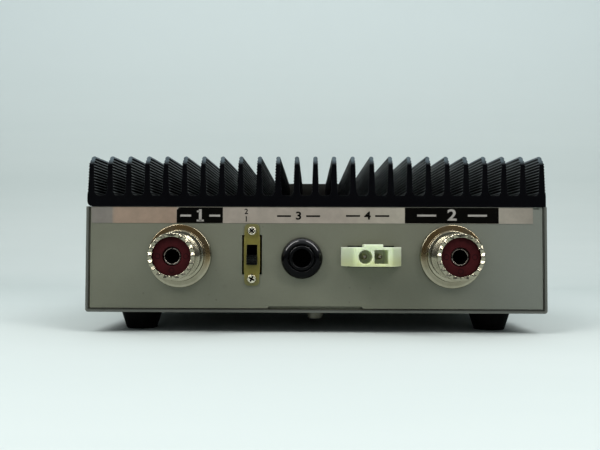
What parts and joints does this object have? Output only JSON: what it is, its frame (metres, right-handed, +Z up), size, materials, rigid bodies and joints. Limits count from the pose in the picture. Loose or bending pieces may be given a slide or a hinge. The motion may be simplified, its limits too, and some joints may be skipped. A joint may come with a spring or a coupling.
{
  "type": "transverter",
  "caption": "Transverter in a flat case with a finned heatsink lid, round coax sockets, slide switch, jack and power inlet at the rear, and a band dial and push buttons in front.",
  "frame": {"origin": "centre of the whole box in plan, on the surface under the feet", "axes": "+Z up, -Y out of the socket (rear) panel, +Y out of the control (front) panel, +X to the right when the socket panel is looked at"},
  "size_m": [0.1668, 0.1454, 0.0636],
  "materials": {
    "anodised_black": "black anodised extrusion, worn on the fins' ends",
    "plated_sheet": "dull plated sheet steel",
    "bezel_black": "fine textured black moulding",
    "facia_black": "satin black plate with white print",
    "label_strip": "pale grey strip with black print",
    "zinc_steel": "bright zinc plated steel",
    "foot_rubber": "matt black rubber",
    "nickel_plate": "bright nickel plating",
    "contact_silver": "silvered contact",
    "maroon_resin": "dark maroon moulded resin",
    "passivated_steel": "olive yellow passivated steel",
    "switch_black": "black moulding",
    "jack_black": "glossy black moulding",
    "ivory_nylon": "waxy translucent nylon",
    "knob_black": "fine textured black moulding",
    "pointer_white": "white inlay",
    "switch_cream": "cream moulding",
    "lamp_red": "clear red resin",
    "board_green": "green lacquered board",
    "spacer_brass": "nickel plated brass",
    "transistor_ceramic": "plated flange with pale cap",
    "relay_case": "dark moulded case",
    "toroid_core": "painted iron powder core",
    "capacitor_sleeve": "dark sleeve",
    "can_tin": "tinned can",
    "coax_jacket": "black jacket",
    "lead_red": "red sleeve",
    "lead_yellow": "yellow sleeve",
    "ribbon_grey": "grey flat cable"
  },
  "bodies": {
    "case": {"heatsink": "anodised_black", "bottom_cover": "plated_sheet", "rear_panel": "plated_sheet", "front_chassis": "plated_sheet", "front_panel": "bezel_black", "facia_plate": "facia_black", "rear_label": "label_strip", "heatsink_screws": "zinc_steel", "cover_side_screws": "zinc_steel", "cover_bottom_screws": "zinc_steel", "front_panel_screws": "zinc_steel", "feet": "foot_rubber", "foot_screws": "zinc_steel", "foot_nuts": "zinc_steel", "antenna_socket_shell": "nickel_plate", "antenna_socket_insulator": "maroon_resin", "antenna_socket_contact": "contact_silver", "antenna_socket_nut": "nickel_plate", "input_socket_shell": "nickel_plate", "input_socket_insulator": "maroon_resin", "input_socket_contact": "contact_silver", "input_socket_nut": "nickel_plate", "level_switch_frame": "passivated_steel", "level_switch_body": "switch_black", "level_switch_terminals": "contact_silver", "level_switch_screws": "nickel_plate", "remote_jack_body": "jack_black", "remote_jack_nut": "jack_black", "remote_jack_contacts": "contact_silver", "power_inlet_housing": "ivory_nylon", "power_inlet_pins": "contact_silver", "band_switch_body": "switch_black", "band_switch_nut": "zinc_steel", "power_switch_body": "switch_cream", "preamp_switch_body": "switch_cream", "indicator_lamps": "lamp_red", "front_board": "board_green", "main_board": "board_green", "board_spacers": "spacer_brass", "board_screws": "zinc_steel", "power_transistors": "transistor_ceramic", "transistor_screws": "zinc_steel", "changeover_relays": "relay_case", "toroid_coils": "toroid_core", "electrolytic_capacitors": "capacitor_sleeve", "tuned_coil_cans": "can_tin", "crystals": "can_tin", "shield_wall": "can_tin", "coax_jumpers": "coax_jacket", "power_leads": "lead_red", "signal_leads": "lead_yellow", "ribbon_cable": "ribbon_grey"},
    "level_slider": {"level_switch_knob": "switch_black"},
    "band_dial": {"band_switch_shaft": "zinc_steel", "band_switch_rotor": "switch_cream", "band_knob": "knob_black", "band_knob_pointer": "pointer_white"},
    "power_key": {"power_button": "knob_black"},
    "preamp_key": {"preamp_button": "knob_black"}
  },
  "joints": [
    {"name": "level_slide", "type": "slide", "parent": "case", "child": "level_slider", "axis": [0, 0, 1], "range_m": [0, 0.0036]},
    {"name": "band_turn", "type": "hinge", "parent": "case", "child": "band_dial", "pos_m": [-0.0501, 0.0587, 0.0295], "axis": [0, -1, 0], "range_deg": [0, 150]},
    {"name": "power_push", "type": "slide", "parent": "case", "child": "power_key", "axis": [0, -1, 0], "range_m": [0, 0.0025], "stiffness_N_per_m": 300},
    {"name": "preamp_push", "type": "slide", "parent": "case", "child": "preamp_key", "axis": [0, -1, 0], "range_m": [0, 0.0025], "stiffness_N_per_m": 300}
  ]
}
